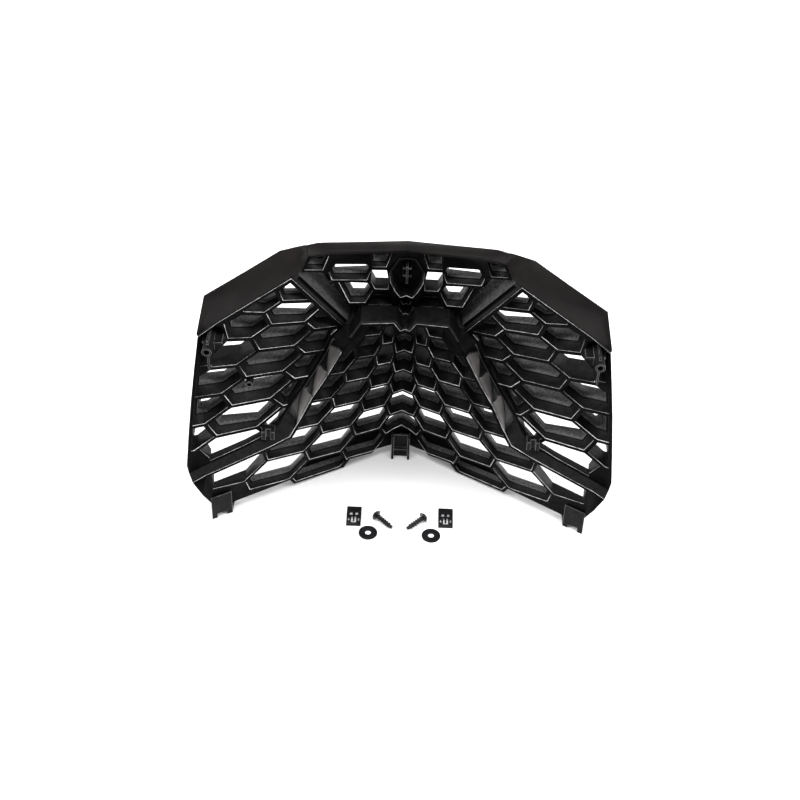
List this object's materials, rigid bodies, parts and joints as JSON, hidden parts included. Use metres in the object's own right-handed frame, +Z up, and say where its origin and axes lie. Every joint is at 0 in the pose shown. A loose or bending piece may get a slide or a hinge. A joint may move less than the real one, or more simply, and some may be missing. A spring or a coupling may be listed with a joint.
{
  "type": "front grille",
  "caption": "Black moulded honeycomb front grille, swept back both sides of a vertical prow, standing on its lower tabs with its loose fixing hardware.",
  "frame": {"origin": "middle of the bounding box in plan, at the height of the surface that the lower tabs stand on", "axes": "+X across the grille, +Y towards the front of the vehicle (away from a viewer behind it), +Z up"},
  "size_m": [0.451, 0.1714, 0.318],
  "materials": {
    "grained_plastic": "fine grained black moulding with a satin sheen",
    "smooth_plastic": "smooth satin charcoal black",
    "hardware_steel": "black phosphate and paint on steel"
  },
  "bodies": {
    "grille": {"bracket_left": "grained_plastic", "bracket_right": "grained_plastic", "centre_cup": "grained_plastic", "centre_pin": "grained_plastic", "centre_tab": "grained_plastic", "corner_tab_left": "grained_plastic", "corner_tab_right": "grained_plastic", "locating_peg": "grained_plastic", "recess_panel_left": "grained_plastic", "recess_panel_right": "grained_plastic", "recess_peg_left": "grained_plastic", "recess_peg_right": "grained_plastic", "ridge_left": "smooth_plastic", "ridge_right": "smooth_plastic", "rim_shoulder_left": "smooth_plastic", "rim_shoulder_right": "smooth_plastic", "rim_top": "smooth_plastic", "scoop_mesh": "grained_plastic", "shelf": "grained_plastic", "side_boss_left": "grained_plastic", "side_boss_right": "grained_plastic", "upper_mesh": "grained_plastic", "wing_mesh_left": "grained_plastic", "wing_mesh_right": "grained_plastic"},
    "clip_nut_left_loose": {"clip_nut_left": "hardware_steel"},
    "clip_nut_right_loose": {"clip_nut_right": "hardware_steel"},
    "screw_left_loose": {"screw_left": "hardware_steel"},
    "screw_right_loose": {"screw_right": "hardware_steel"},
    "washer_left_loose": {"washer_left": "hardware_steel"},
    "washer_right_loose": {"washer_right": "hardware_steel"}
  },
  "joints": [
    {"name": "clip_nut_left_lift", "type": "slide", "parent": "grille", "child": "clip_nut_left_loose", "axis": [0, 0, 1], "range_m": [0, 0.08]},
    {"name": "clip_nut_right_lift", "type": "slide", "parent": "grille", "child": "clip_nut_right_loose", "axis": [0, 0, 1], "range_m": [0, 0.08]},
    {"name": "screw_left_lift", "type": "slide", "parent": "grille", "child": "screw_left_loose", "axis": [0, 0, 1], "range_m": [0, 0.08]},
    {"name": "screw_right_lift", "type": "slide", "parent": "grille", "child": "screw_right_loose", "axis": [0, 0, 1], "range_m": [0, 0.08]},
    {"name": "washer_left_lift", "type": "slide", "parent": "grille", "child": "washer_left_loose", "axis": [0, 0, 1], "range_m": [0, 0.08]},
    {"name": "washer_right_lift", "type": "slide", "parent": "grille", "child": "washer_right_loose", "axis": [0, 0, 1], "range_m": [0, 0.08]}
  ]
}
